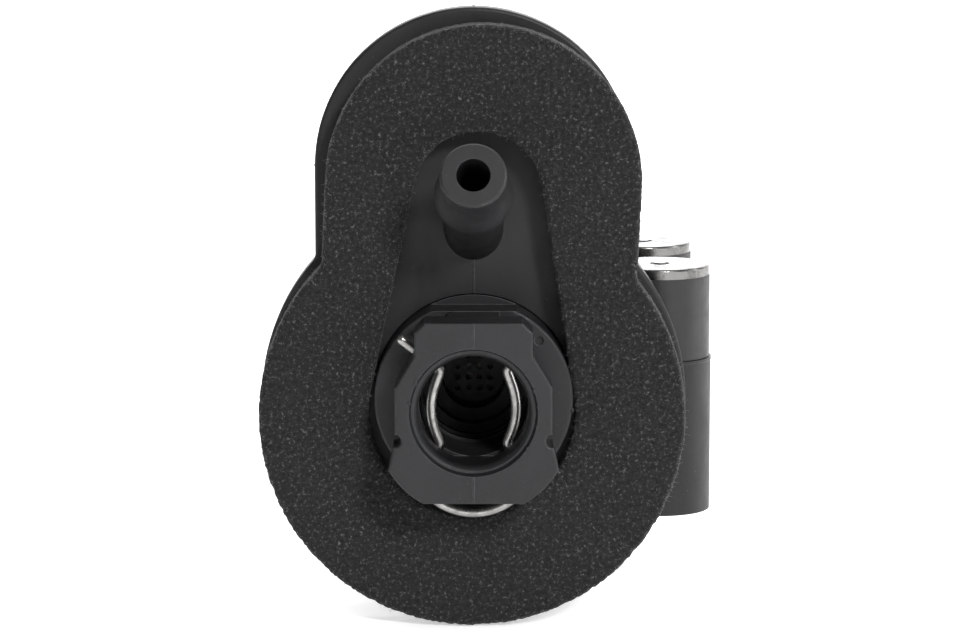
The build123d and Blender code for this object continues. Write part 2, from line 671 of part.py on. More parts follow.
def make_gasket():
    """Flat gasket between the front plate and the manifold."""
    with BuildPart() as gasket:
        with BuildSketch(facing_front(MANIFOLD_FRONT)):
            add(flange_outline())
            Circle(CLAMP_RECESS_RADIUS + SEAL_LIFT, mode=Mode.SUBTRACT)
            with Locations((0, NIPPLE_PORT_Z)):
                Circle(PORT_HOLE_RADIUS, mode=Mode.SUBTRACT)
            with Locations(*SCREW_PLACES):
                Circle(SCREW_HOLE_RADIUS, mode=Mode.SUBTRACT)
        extrude(amount=GASKET_THICKNESS)
    save(gasket, "manifold_gasket")


def make_manifold():
    """Manifold: inlet chamber, gallery, two valve towers, their passages and the rear nipple."""
    a_x, a_y = SOLENOIDS["a"]
    b_x, b_y = SOLENOIDS["b"]
    rear_root = (REAR_NIPPLE_ROOT_X, b_y, OUTLET_Z)
    rear_collar = (REAR_NIPPLE_ROOT_X + REAR_NIPPLE_COLLAR, b_y, OUTLET_Z)
    cut = Mode.SUBTRACT
    with BuildPart() as body:
        with BuildSketch(facing_front(FLANGE_BACK)):
            add(flange_outline())
        extrude(amount=FLANGE_BACK - MANIFOLD_FRONT)
        with BuildSketch(Plane.XY):
            ring_profile(0, MOUTH_OUTER_RADIUS, MANIFOLD_FRONT, MOUTH_OUTER_BACK)
            ring_profile(0, CHAMBER_OUTER_RADIUS, MANIFOLD_FRONT, CHAMBER_OUTER_BACK)
            ring_profile(0, GALLERY_OUTER_RADIUS, MANIFOLD_FRONT, GALLERY_OUTER_BACK)
        revolve(axis=Axis.Y)
        # Valve towers, with a raised parting ring where each coil sits down
        for x, y in SOLENOIDS.values():
            bar((x, y, BASE_Z), UP, TOWER_TOP - BASE_Z, TOWER_RADIUS)
            bar((x, y, TOWER_TOP - 2 * PARTING_RING_HALF), UP, 2 * PARTING_RING_HALF, PARTING_RING_RADIUS)
        fillet(body.edges().group_by(Axis.Z)[0], BASE_FILLET)
        # Outlet arms, riser and cross arm to the nipple port, supply arm and feed rail
        bar((ARM_END_X, a_y, OUTLET_Z), TO_RIGHT, a_x - ARM_END_X, PASSAGE_OUTER_RADIUS)
        bar(rear_root, TO_RIGHT, b_x - REAR_NIPPLE_ROOT_X, PASSAGE_OUTER_RADIUS)
        riser_low = OUTLET_Z - RISER_RADIUS
        bar((RISER_X, RISER_Y, riser_low), UP, RISER_TOP - riser_low, RISER_RADIUS)
        bar((ARM_END_X, RISER_Y, NIPPLE_PORT_Z), TO_RIGHT, RISER_RADIUS - ARM_END_X, RISER_RADIUS)
        port_length = RISER_Y + RISER_RADIUS - MANIFOLD_FRONT
        bar((0, MANIFOLD_FRONT, NIPPLE_PORT_Z), TO_BACK, port_length, RISER_RADIUS)
        supply_length = RAIL_X - SUPPLY_ARM_END_X
        bar((SUPPLY_ARM_END_X, SUPPLY_Y, SUPPLY_Z), TO_RIGHT, supply_length, PASSAGE_OUTER_RADIUS)
        bar((RAIL_X, a_y, SUPPLY_Z), TO_BACK, RAIL_END_Y - a_y, PASSAGE_OUTER_RADIUS)
        # Rear hose nipple
        bar(rear_collar, TO_LEFT, REAR_NIPPLE_COLLAR, NIPPLE_NECK_RADIUS)
        with BuildSketch(Plane(origin=rear_root, x_dir=UP, z_dir=(0, -1, 0))):
            add(nipple_profile())
        revolve(axis=Axis(rear_root, TO_LEFT))
        # Bracket bosses
        with BuildSketch(facing_front(BRACKET_BACK)):
            with GridLocations(*BRACKET_SPACING, 2, 2):
                Circle(BRACKET_BOSS_RADIUS)
        extrude(amount=BRACKET_BACK - BRACKET_FRONT)
        with BuildSketch(facing_front(BRACKET_BACK)):
            with GridLocations(*BRACKET_SPACING, 2, 2):
                Circle(BRACKET_HOLE_RADIUS)
        extrude(amount=BRACKET_DEPTH, mode=cut)
        # Inlet bores
        with BuildSketch(Plane.XY):
            ring_profile(0, CLAMP_RECESS_RADIUS, MANIFOLD_FRONT - 1, CLAMP_RECESS_BACK)
            ring_profile(0, MOUTH_RADIUS, MANIFOLD_FRONT, MOUTH_BACK)
            ring_profile(0, CHAMBER_RADIUS, MANIFOLD_FRONT, CHAMBER_BACK)
            ring_profile(0, GALLERY_RADIUS, MANIFOLD_FRONT, GALLERY_BACK)
        revolve(axis=Axis.Y, mode=cut)
        # Valve chambers, O-ring shelves and coil cups
        for x, y in SOLENOIDS.values():
            bar((x, y, CHAMBER_FLOOR), UP, TOWER_TOP + 1 - CHAMBER_FLOOR, VALVE_CHAMBER_RADIUS, cut)
            bar((x, y, O_RING_SHELF), UP, TOWER_TOP + 1 - O_RING_SHELF, O_RING_BORE_RADIUS, cut)
            bar((x, y, CUP_FLOOR), UP, TOWER_TOP + 1 - CUP_FLOOR, CUP_RADIUS, cut)
        # Passages
        bar((ARM_END_X - 1, a_y, OUTLET_Z), TO_RIGHT, a_x - ARM_END_X + 1, PASSAGE_RADIUS, cut)
        bar(rear_root, TO_RIGHT, b_x - REAR_NIPPLE_ROOT_X, PASSAGE_RADIUS, cut)
        bar(rear_collar, TO_LEFT, REAR_NIPPLE_COLLAR + NIPPLE_LENGTH + 1, NIPPLE_BORE_RADIUS, cut)
        bar((RISER_X, RISER_Y, OUTLET_Z), UP, RISER_TOP + 1 - OUTLET_Z, PASSAGE_RADIUS, cut)
        bar((ARM_END_X - 1, RISER_Y, NIPPLE_PORT_Z), TO_RIGHT, 1 - ARM_END_X, PASSAGE_RADIUS, cut)
        port_depth = RISER_Y + 1 - MANIFOLD_FRONT
        bar((0, MANIFOLD_FRONT - 1, NIPPLE_PORT_Z), TO_BACK, port_depth, PASSAGE_RADIUS, cut)
        bar((SUPPLY_ARM_END_X - 1, SUPPLY_Y, SUPPLY_Z), TO_RIGHT, supply_length + 1, PASSAGE_RADIUS, cut)
        bar((RAIL_X, a_y, SUPPLY_Z), TO_BACK, RAIL_END_Y + 1 - a_y, PASSAGE_RADIUS, cut)
        # Raised seats with their outlet holes
        for x, y in SOLENOIDS.values():
            bar((x, y, CHAMBER_FLOOR - SEAL_LIFT), UP, SEAT_TOP - CHAMBER_FLOOR + SEAL_LIFT, SEAT_RADIUS)
            bar((x, y, OUTLET_Z), UP, SEAT_TOP + 1 - OUTLET_Z, SEAT_HOLE_RADIUS, cut)
        for x, z in SCREW_PLACES:
            bar((x, MANIFOLD_FRONT - 1, z), TO_BACK, FLANGE_BACK + 1, SCREW_HOLE_RADIUS, cut)
    save(body, "manifold_body")


def make_screws():
    """Self-tapping pan-head screws that clamp the manifold to the front plate."""
    head_back = FLANGE_BACK + SCREW_HEAD_HEIGHT
    slot_length, slot_width = SCREW_SLOT
    with BuildPart() as screws:
        with BuildSketch(facing_front(head_back)):
            with Locations(*SCREW_PLACES):
                Circle(SCREW_HEAD_RADIUS)
        extrude(amount=SCREW_HEAD_HEIGHT)
        fillet(screws.edges().group_by(Axis.Y)[-1], SCREW_HEAD_HEIGHT / 3)
        with BuildSketch(facing_front(FLANGE_BACK)):
            with Locations(*SCREW_PLACES):
                Circle(SCREW_RADIUS)
        extrude(amount=FLANGE_BACK - PLATE_THICKNESS + SCREW_GRIP)
        with BuildSketch(facing_front(head_back)):
            with Locations(*SCREW_PLACES):
                Rectangle(slot_length, slot_width)
                Rectangle(slot_width, slot_length)
        extrude(amount=SCREW_SLOT_DEPTH, mode=Mode.SUBTRACT)
    save(screws, "manifold_screws")


def make_core_plugs():
    """Plugs pressed into the open ends of the moulded passages."""
    with BuildPart() as plugs:
        for place, outward in PLUG_ENDS:
            inward = tuple(-d for d in outward)
            bar(place, outward, PLUG_HEAD, PLUG_HEAD_RADIUS)
            bar(place, inward, PLUG_SHANK, PLUG_SHANK_RADIUS)
    save(plugs, "core_plugs")


def make_coil_housing(tag, x, y):
    """Overmoulded coil housing with its connector shroud, and the two terminals in it."""
    shroud_root = Plane(origin=(x - SHROUD_ROOT, y, SHROUD_Z), x_dir=(0, -1, 0), z_dir=TO_LEFT)
    shroud_floor = Plane(origin=(x - SHROUD_FLOOR, y, SHROUD_Z), x_dir=(0, -1, 0), z_dir=TO_LEFT)
    width, height = SHROUD_SIZE
    open_width = width - 2 * SHROUD_WALL
    open_height = height - 2 * SHROUD_WALL
    shroud_end = COIL_RADIUS + SHROUD_LENGTH
    terminal_x = x - TERMINAL_ROOT - TERMINAL_SIZE[0] / 2
    terminal_places = [(terminal_x, y + side * TERMINAL_SPACING / 2, SHROUD_Z) for side in (-1, 1)]
    axis = Axis((x, y, 0), UP)
    coil_foot = TOWER_TOP + SEAL_LIFT
    with BuildPart() as housing:
        with BuildSketch(upright(x, y)):
            ring_profile(0, COIL_NECK_RADIUS, COIL_BOTTOM, coil_foot)
            ring_profile(0, COIL_RADIUS, coil_foot, COIL_TOP)
        revolve(axis=axis)
        with BuildSketch(shroud_root):
            RectangleRounded(width, height, SHROUD_CORNER)
        extrude(amount=shroud_end - SHROUD_ROOT)
        with BuildSketch(shroud_floor):
            RectangleRounded(open_width, open_height, SHROUD_CORNER / 2)
        extrude(amount=shroud_end, mode=Mode.SUBTRACT)
        bar((x, y, COIL_BOTTOM - 1), UP, COIL_TOP - COIL_BOTTOM + 2, BOBBIN_BORE_RADIUS, Mode.SUBTRACT)
        bar((x, y, COIL_FLOOR), UP, COIL_TOP - COIL_FLOOR + 1, COIL_BORE_RADIUS, Mode.SUBTRACT)
        with Locations(*terminal_places):
            Box(*TERMINAL_SIZE, mode=Mode.SUBTRACT)
    save(housing, f"coil_housing_{tag}")
    with BuildPart() as terminals:
        with Locations(*terminal_places):
            Box(*TERMINAL_SIZE)
    save(terminals, f"coil_terminals_{tag}")


def make_coil_cap(tag, x, y):
    """Plated steel cap, with a shallow dish round the staked end of the core."""
    with BuildPart() as cap:
        bar((x, y, COIL_TOP), UP, CAP_TOP - COIL_TOP, CAP_RADIUS)
        fillet(cap.edges().group_by(Axis.Z)[-1], CAP_FILLET)
        bar((x, y, CAP_TOP - CAP_DISH), UP, 1, CAP_DISH_RADIUS, Mode.SUBTRACT)
        bar((x, y, COIL_TOP - 1), UP, CAP_TOP - COIL_TOP + 2, STAKE_RADIUS, Mode.SUBTRACT)
    save(cap, f"coil_cap_{tag}")


def make_solenoid(tag, x, y):
    """All the pieces of one solenoid valve, from the coil housing to the plunger seal."""
    plane = upright(x, y)
    axis = Axis((x, y, 0), UP)
    winding_low = COIL_FLOOR + BOBBIN_FLANGE_THICKNESS
    winding_high = BOBBIN_TOP - BOBBIN_FLANGE_THICKNESS
    make_coil_housing(tag, x, y)
    make_coil_cap(tag, x, y)
    yoke = (YOKE_INNER_RADIUS, YOKE_OUTER_RADIUS, COIL_FLOOR, COIL_TOP)
    make_turned(f"yoke_sleeve_{tag}", plane, axis, [yoke])
    make_turned(
        f"coil_bobbin_{tag}",
        plane,
        axis,
        [
            (BOBBIN_BORE_RADIUS, BOBBIN_CORE_RADIUS, COIL_FLOOR, BOBBIN_TOP),
            (BOBBIN_BORE_RADIUS, BOBBIN_FLANGE_RADIUS, COIL_FLOOR, winding_low),
            (BOBBIN_BORE_RADIUS, BOBBIN_FLANGE_RADIUS, winding_high, BOBBIN_TOP),
        ],
    )
    winding = (WINDING_INNER_RADIUS, WINDING_OUTER_RADIUS, winding_low, winding_high)
    make_turned(f"coil_winding_{tag}", plane, axis, [winding])
    make_turned(
        f"guide_tube_{tag}",
        plane,
        axis,
        [
            (TUBE_INNER_RADIUS, TUBE_OUTER_RADIUS, CUP_FLOOR, TUBE_TOP),
            (TUBE_INNER_RADIUS, TUBE_FLANGE_RADIUS, CUP_FLOOR, CUP_FLOOR + TUBE_FLANGE_THICKNESS),
        ],
    )
    make_turned(
        f"fixed_core_{tag}",
        plane,
        axis,
        [
            (0, CORE_RADIUS, CORE_BOTTOM, TUBE_TOP),
            (0, TUBE_OUTER_RADIUS, TUBE_TOP, COIL_TOP),
            (0, STAKE_RADIUS, COIL_TOP, CAP_TOP + STAKE_RISE),
        ],
    )
    make_turned(
        f"plunger_{tag}",
        plane,
        axis,
        [
            (PLUNGER_SEAL_RADIUS, PLUNGER_RADIUS, PLUNGER_BOTTOM, PLUNGER_SEAL_TOP),
            (0, PLUNGER_RADIUS, PLUNGER_SEAL_TOP, PLUNGER_BORE_FLOOR),
            (PLUNGER_BORE_RADIUS, PLUNGER_RADIUS, PLUNGER_BORE_FLOOR, PLUNGER_TOP),
        ],
    )
    seal = (0, PLUNGER_SEAL_RADIUS, SEAT_TOP + SEAL_LIFT, PLUNGER_SEAL_TOP)
    make_turned(f"plunger_seal_{tag}", plane, axis, [seal])
    make_spring(
        f"plunger_spring_{tag}",
        (x, y, PLUNGER_BORE_FLOOR + SPRING_END_GAP),
        UP,
        PLUNGER_SPRING_LENGTH,
        PLUNGER_SPRING_PITCH,
        PLUNGER_SPRING_RADIUS,
        PLUNGER_SPRING_WIRE,
    )
    tube_seal = (TUBE_SEAL_CENTRE, CUP_FLOOR - (CUP_FLOOR - O_RING_SHELF) / 2)
    make_o_rings(f"guide_tube_o_ring_{tag}", plane, axis, [tube_seal], TUBE_SEAL_SECTION)


os.makedirs("parts", exist_ok=True)
make_front_plate()
make_foam_seal()
make_inlet_connector()
make_retaining_clip()
make_socket_seals()
make_strainer()
make_flow_regulator()
make_check_valve()
make_gasket()
make_manifold()
make_screws()
make_core_plugs()
for solenoid, (axis_x, axis_y) in SOLENOIDS.items():
    make_solenoid(solenoid, axis_x, axis_y)
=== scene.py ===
# Looks of the toilet inlet valve: a material for every CAD node, the foam seal as its own cut-foam
# piece, moulding detail on the front, studio light and the camera. Metres, in the CAD frame.

import math
import random

import bmesh
import bpy
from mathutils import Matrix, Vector, noise


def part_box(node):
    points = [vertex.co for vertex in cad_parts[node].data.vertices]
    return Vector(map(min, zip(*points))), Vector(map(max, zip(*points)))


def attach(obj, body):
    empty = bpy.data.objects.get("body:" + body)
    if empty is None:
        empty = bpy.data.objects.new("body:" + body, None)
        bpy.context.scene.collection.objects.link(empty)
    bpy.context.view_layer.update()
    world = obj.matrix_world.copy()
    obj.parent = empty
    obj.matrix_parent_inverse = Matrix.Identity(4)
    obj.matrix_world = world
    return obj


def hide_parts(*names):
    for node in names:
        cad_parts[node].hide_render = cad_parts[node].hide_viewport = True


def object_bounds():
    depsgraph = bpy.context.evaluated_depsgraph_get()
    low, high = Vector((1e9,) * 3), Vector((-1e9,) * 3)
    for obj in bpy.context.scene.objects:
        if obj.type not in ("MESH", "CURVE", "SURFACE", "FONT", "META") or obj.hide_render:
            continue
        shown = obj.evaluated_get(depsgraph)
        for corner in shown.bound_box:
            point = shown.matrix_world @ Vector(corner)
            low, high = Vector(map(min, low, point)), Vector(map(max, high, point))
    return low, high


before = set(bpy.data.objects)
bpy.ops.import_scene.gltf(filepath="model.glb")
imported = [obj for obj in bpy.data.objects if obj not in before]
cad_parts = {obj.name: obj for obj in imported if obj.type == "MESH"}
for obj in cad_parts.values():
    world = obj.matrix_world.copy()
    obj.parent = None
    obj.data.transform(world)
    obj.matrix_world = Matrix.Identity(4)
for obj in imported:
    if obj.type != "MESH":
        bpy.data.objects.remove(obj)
cad_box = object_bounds()
MM = 0.001
ROOT_BODY = "valve_body"

# Foam seal
FOAM_VOXEL = 0.26 * MM
FOAM_CELL = 0.55 * MM
FOAM_PIT = 0.18 * MM
FOAM_ROUGH = 0.04 * MM
FOAM_SWELL = 0.13 * MM
HAIR_COUNT = 900
HAIR_RADIUS = 0.022 * MM
HAIR_LENGTH = (0.25 * MM, 0.75 * MM)
HAIR_CURL = 0.45
HAIR_STEPS = (-0.1, 0.3, 0.65, 1.0)

# Moulded plastic: slightly blue, with this edge rounding and share of dust
MOULDING_TINT = (0.97, 1.0, 1.06)
MOULDING_EDGE = 0.16 * MM
MOULDING_DUST = 0.5

# Camera and stage
CAMERA_TARGET = Vector((0.89, 0.0, 10.25)) * MM
CAMERA_ELEVATION = 8.8
CAMERA_DISTANCE = 490 * MM
CAMERA_LENS = 130.3
FLOOR_GAP = 0.3 * MM
FLOOR_REACH = 1.6
FLOOR_BEND = 0.5
WORLD_STRENGTH = 0.17
FLOOR_GLOW = 0.5

# Lights, each as its place, what it faces, its size (metres) and its power (watts)
VALVE_CENTRE = (0.0, 0.0, 0.012)
LIGHTS = {
    "key": ((0.29, -0.70, 0.40), VALVE_CENTRE, (0.13, 0.13), 5.6),
    "top": ((0.10, 0.16, 0.75), VALVE_CENTRE, (0.5, 0.35), 0.9),
    "side": ((0.75, 0.05, 0.22), VALVE_CENTRE, (0.25, 0.5), 2.2),
    "backdrop": ((0.0, 0.9, 1.5), (0.0, 1.9, 0.4), (2.4, 0.8), 60.0),
}


class Graph:
    """One material's node tree, with short calls to add and join nodes."""

    def __init__(self, name):
        self.material = bpy.data.materials.new(name)
        self.material.use_nodes = True
        self.tree = self.material.node_tree
        self.shader = self.tree.nodes["Principled BSDF"]
        self.place = self.tree.nodes.new("ShaderNodeTexCoord").outputs["Object"]

    def add(self, kind, settings=None, **inputs):
        """A node with its settings, and each named input set to a number or joined to a socket."""
        node = self.tree.nodes.new(kind)
        for key, value in (settings or {}).items():
            setattr(node, key, value)
        for key, value in inputs.items():
            self.feed(node.inputs[key.replace("_", " ")], value)
        return node

    def feed(self, socket, value):
        if isinstance(value, bpy.types.NodeSocket):
            self.tree.links.new(value, socket)
        else:
            socket.default_value = value

    def set(self, **inputs):
        """Sets or joins the shader's own inputs."""
        for key, value in inputs.items():
            self.feed(self.shader.inputs[key.replace("_", " ")], value)

    def stretched(self, scale):
        """Object coordinates stretched by a factor per axis."""
        return self.add("ShaderNodeMapping", Vector=self.place, Scale=scale).outputs["Vector"]

    def noise(self, size, detail=3.0, rough=0.55, vector=None):
        """Noise whose features are about size metres across."""
        node = self.add(
            "ShaderNodeTexNoise",
            Vector=vector or self.place,
            Scale=1 / size,
            Detail=detail,
            Roughness=rough,
        )
        return node.outputs["Fac"]

    def cells(self, size, feature="F1"):
        """Distances of a Voronoi pattern whose cells are about size metres across."""
        node = self.add("ShaderNodeTexVoronoi", {"feature": feature}, Vector=self.place, Scale=1 / size)
        return node.outputs["Distance"]

    def spread(self, value, low, high, to_low=0.0, to_high=1.0):
        """Maps value from low..high to another range, held at its ends."""
        node = self.add("ShaderNodeMapRange", {"clamp": True}, Value=value)
        for key, number in (("From Min", low), ("From Max", high), ("To Min", to_low), ("To Max", to_high)):
            node.inputs[key].default_value = number
        return node.outputs["Result"]

    def math(self, operation, a, b=0.0):
        node = self.add("ShaderNodeMath", {"operation": operation})
        self.feed(node.inputs[0], a)
        self.feed(node.inputs[1], b)
        return node.outputs["Value"]

    def blend(self, amount, a, b):
        """Mixes two colours."""
        node = self.add("ShaderNodeMix", {"data_type": "RGBA", "blend_type": "MIX"})
        for socket, value in ((node.inputs[0], amount), (node.inputs[6], a), (node.inputs[7], b)):
            self.feed(socket, value)
        return node.outputs[2]

    def bump(self, height, depth, normal=None, strength=1.0):
        """Bump whose full height is depth metres."""
        node = self.add("ShaderNodeBump", Height=height, Distance=depth, Strength=strength)
        if normal is not None:
            self.feed(node.inputs["Normal"], normal)
        return node.outputs["Normal"]

    def round_edges(self, radius):
        """Normal of a rounded edge, and a mask that is 1 on the edge and 0 on flat faces."""
        rounded = self.add("ShaderNodeBevel", {"samples": 6}, Radius=radius).outputs["Normal"]
        flat = self.add("ShaderNodeNewGeometry").outputs["Normal"]
        dot = self.add("ShaderNodeVectorMath", {"operation": "DOT_PRODUCT"})
        self.feed(dot.inputs[0], rounded)
        self.feed(dot.inputs[1], flat)
        return rounded, self.spread(dot.outputs["Value"], 0.995, 0.86)


def grey(value, tint=(1.0, 1.0, 1.0)):
    return (value * tint[0], value * tint[1], value * tint[2], 1.0)


def moulded_plastic(name, value, rough=0.42, grain=0.05 * MM):
    """Moulded plastic: spark-eroded grain, flow streaks, smears, edges lightened partly as wear and partly
    as painted edge highlight, and a little dust.
    """
    g = Graph(name)
    rounded, edge_mask = g.round_edges(MOULDING_EDGE)
    flow = g.noise(7 * MM, 4.0, 0.6, g.stretched((1.0, 1.0, 0.35)))
    mottle = g.noise(0.55 * MM, 4.0, 0.7)
    fine = g.noise(grain * 3, 5.0, 0.75)
    dark = grey(value * 0.82, MOULDING_TINT)
    light = grey(value * 1.2, MOULDING_TINT)
    colour = g.blend(g.spread(flow, 0.35, 0.7), dark, light)
    colour = g.blend(g.spread(mottle, 0.3, 0.75, 0.0, 0.55), colour, grey(value * 1.75, MOULDING_TINT))
    # Rounded edges lightened: partly rubbed wear, partly a painted highlight standing in for light catching
    # the edge fillets.
    worn_and_highlit = g.math("MULTIPLY", edge_mask, g.spread(g.noise(1.4 * MM, 5.0, 0.7), 0.38, 0.62, 0.3, 0.95))
    colour = g.blend(worn_and_highlit, colour, grey(value * 4.2 + 0.03, MOULDING_TINT))
    specks = g.spread(g.cells(0.9 * MM), 0.075, 0.03)
    specks = g.math("MULTIPLY", specks, g.spread(g.noise(5 * MM), 0.5, 0.66, 0.0, MOULDING_DUST))
    colour = g.blend(specks, colour, grey(0.34, (1.0, 0.98, 0.94)))
    smears = g.noise(3.5 * MM, 6.0, 0.65, g.stretched((1.0, 1.0, 0.5)))
    roughness = g.spread(smears, 0.3, 0.72, rough - 0.07, rough + 0.13)
    normal = g.bump(g.noise(2.6 * MM, 2.0), 0.05 * MM, rounded, 0.5)
    normal = g.bump(fine, grain * 0.55, normal, 0.75)
    g.set(Base_Color=colour, Roughness=roughness, Normal=normal)
    g.set(Specular_IOR_Level=0.34, IOR=1.5)
    return g.material


def coil_plastic(name, value):
    """Overmould of the coils: slightly lighter, with a finer skin and vertical draw marks."""
    g = Graph(name)
    rounded, edge_mask = g.round_edges(0.14 * MM)
    draw = g.noise(0.5 * MM, 4.0, 0.6, g.stretched((1.0, 1.0, 0.03)))
    cloud = g.noise(4 * MM, 4.0, 0.6)
    colour = g.blend(g.spread(cloud, 0.32, 0.7), grey(value * 0.85), grey(value * 1.18))
    colour = g.blend(g.spread(draw, 0.42, 0.7, 0.0, 0.4), colour, grey(value * 1.5))
    # Rounded edges lightened with a painted highlight.
    colour = g.blend(g.math("MULTIPLY", edge_mask, 0.45), colour, grey(value * 2.4))
    roughness = g.spread(g.noise(1.8 * MM, 5.0), 0.3, 0.7, 0.36, 0.52)
    normal = g.bump(draw, 0.03 * MM, rounded, 0.5)
    normal = g.bump(g.noise(0.12 * MM, 4.0, 0.7), 0.02 * MM, normal, 0.7)
    g.set(Base_Color=colour, Roughness=roughness, Normal=normal, Specular_IOR_Level=0.38)
    return g.material


def light_plastic(name, value, tint):
    """Natural or grey acetal: waxy, slightly translucent, with faint flow lines."""
    g = Graph(name)
    rounded, edge_mask = g.round_edges(0.1 * MM)
    flow = g.noise(2.4 * MM, 4.0, 0.6)
    colour = g.blend(g.spread(flow, 0.3, 0.7), grey(value * 0.9, tint), grey(value * 1.05, tint))
    # Rounded edges lightened with a painted highlight.
    colour = g.blend(g.math("MULTIPLY", edge_mask, 0.3), colour, grey(min(1.0, value * 1.3), tint))
    normal = g.bump(g.noise(0.1 * MM, 4.0, 0.7), 0.012 * MM, rounded, 0.7)
    g.set(Base_Color=colour, Roughness=g.spread(flow, 0.3, 0.7, 0.34, 0.48), Normal=normal)
    g.set(Subsurface_Weight=0.08, Subsurface_Scale=0.4 * MM)
    return g.material


def smooth_rubber(name, value):
    """Moulded rubber: dull bloom, fine texture and a soft sheen."""
    g = Graph(name)
    bloom = g.noise(1.6 * MM, 5.0, 0.65)
    colour = g.blend(g.spread(bloom, 0.4, 0.75), grey(value), grey(value * 2.6))
    normal = g.bump(g.noise(0.09 * MM, 4.0, 0.7), 0.015 * MM, None, 0.8)
    g.set(Base_Color=colour, Roughness=g.spread(bloom, 0.3, 0.7, 0.48, 0.66), Normal=normal)
    g.set(Sheen_Weight=0.12, Sheen_Roughness=0.45)
    return g.material


def cut_foam(name, value):
    """Die-cut cellular foam: open cells darkened with painted shade, the torn cell rims between them
    lightened with a painted highlight, and a fuzzy sheen.
    """
    g = Graph(name)
    patch = g.noise(2.6 * MM, 5.0, 0.7)
    cell = g.noise(FOAM_CELL, 4.0, 0.72)
    speck = g.noise(0.32 * MM, 5.0, 0.8)
    # Painted light on the foam: open cells darkened with painted shade (their pits are also cut into the
    # mesh), torn cell rims lightened with a painted highlight.
    pits = g.spread(cell, 0.5, 0.38)
    wall_highlight = g.spread(g.math("MULTIPLY", cell, speck), 0.29, 0.4)
    colour = g.blend(g.spread(patch, 0.3, 0.72), grey(value * 0.8), grey(value * 1.25))
    colour = g.blend(g.math("MULTIPLY", pits, 0.8), colour, grey(value * 0.25))
    colour = g.blend(wall_highlight, colour, grey(value * 12, (0.98, 1.0, 1.04)))
    normal = g.bump(cell, 0.22 * MM, None, 0.9)
    normal = g.bump(speck, 0.09 * MM, normal, 0.9)
    g.set(Base_Color=colour, Roughness=g.spread(speck, 0.3, 0.7, 0.62, 0.9), Normal=normal)
    g.set(Sheen_Weight=0.08, Sheen_Roughness=0.55, Specular_IOR_Level=0.22)
    return g.material


def drawn_wire(name, value):
    """Drawn stainless spring wire: bright, with die lines and faint tarnish."""
    g = Graph(name)
    tarnish = g.noise(1.5 * MM, 5.0, 0.65)
    lines = g.noise(0.07 * MM, 4.0, 0.7, g.stretched((1.0, 1.0, 0.12)))
    clean = grey(value, (1.0, 0.99, 0.97))
    colour = g.blend(g.spread(tarnish, 0.35, 0.7), clean, grey(value * 0.6, (1.0, 0.97, 0.93)))
    roughness = g.spread(tarnish, 0.3, 0.7, 0.22, 0.4)
    g.set(Base_Color=colour, Roughness=roughness, Normal=g.bump(lines, 0.008 * MM, None, 0.6), Metallic=1.0)
    return g.material


def turned_steel(name, value, tint, rough, centre=None):
    """Plated or turned steel: fine concentric or lengthwise marks, stains, and edges lightened partly as
    wear and partly as painted edge highlight.
    """
    g = Graph(name)
    rounded, edge_mask = g.round_edges(0.1 * MM)
    place = g.place
    if centre is not None:
        offset = tuple(-c for c in centre)
        place = g.add("ShaderNodeMapping", Vector=g.place, Location=offset).outputs["Vector"]
    rings = g.add(
        "ShaderNodeTexWave",
        {"wave_type": "RINGS", "rings_direction": "Z"},
        Vector=place,
        Scale=1 / (2.2 * MM),
        Distortion=1.2,
        Detail=3.0,
        Detail_Scale=2.0,
    ).outputs["Fac"]
    stain = g.noise(3.0 * MM, 5.0, 0.65)
    grain = g.noise(0.08 * MM, 4.0, 0.7)
    colour = g.blend(g.spread(stain, 0.42, 0.62), grey(value, tint), grey(value * 0.5, tint))
    # Rounded edges lightened: partly rubbed wear, partly a painted highlight on the edge fillets.
    colour = g.blend(g.math("MULTIPLY", edge_mask, 0.5), colour, grey(min(1.0, value * 1.15)))
    roughness = g.spread(stain, 0.3, 0.7, rough - 0.05, rough + 0.1)
    normal = g.bump(rings, 0.006 * MM, rounded, 0.5)
    normal = g.bump(grain, 0.006 * MM, normal, 0.6)
    g.set(Base_Color=colour, Roughness=roughness, Normal=normal, Metallic=1.0, Anisotropic=0.3)
    return g.material


def copper_winding(name):
    """Enamelled winding wire laid in even turns, with painted shade in the grooves between turns."""
    g = Graph(name)
    turns = g.add(
        "ShaderNodeTexWave",
        {"wave_type": "BANDS", "bands_direction": "Z", "wave_profile": "SIN"},
        Vector=g.place,
        Scale=math.pi / (20 * 0.16 * MM) * 2,
        Distortion=0.4,
        Detail=1.0,
    ).outputs["Fac"]
    shade = g.noise(1.2 * MM, 3.0)
    colour = g.blend(g.spread(shade, 0.3, 0.7), (0.50, 0.16, 0.055, 1.0), (0.72, 0.30, 0.12, 1.0))
    # Painted shade darkens the grooves between the turns.
    colour = g.blend(g.spread(turns, 0.0, 0.35, 0.8, 0.0), colour, (0.10, 0.03, 0.012, 1.0))
    g.set(Base_Color=colour, Roughness=g.spread(shade, 0.3, 0.7, 0.22, 0.34), Metallic=0.9)
    g.set(Normal=g.bump(turns, 0.06 * MM, None, 0.9), Coat_Weight=0.4, Coat_Roughness=0.15)
    return g.material


def studio_floor(name):
    """Pale seamless paper with a barely visible tooth, lit from below like a light table."""
    g = Graph(name)
    tooth = g.noise(0.9 * MM, 4.0, 0.6)
    cloud = g.noise(180 * MM, 2.0)
    colour = g.blend(g.spread(cloud, 0.3, 0.7), grey(0.90), grey(0.94))
    g.set(Base_Color=colour, Roughness=g.spread(tooth, 0.3, 0.7, 0.75, 0.9))
    g.set(Normal=g.bump(tooth, 0.05 * MM, None, 0.4), Specular_IOR_Level=0.2)
    g.set(Emission_Color=grey(1.0), Emission_Strength=FLOOR_GLOW)
    return g.material


def centre_of(node):
    low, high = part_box(node)
    return (low + high) / 2


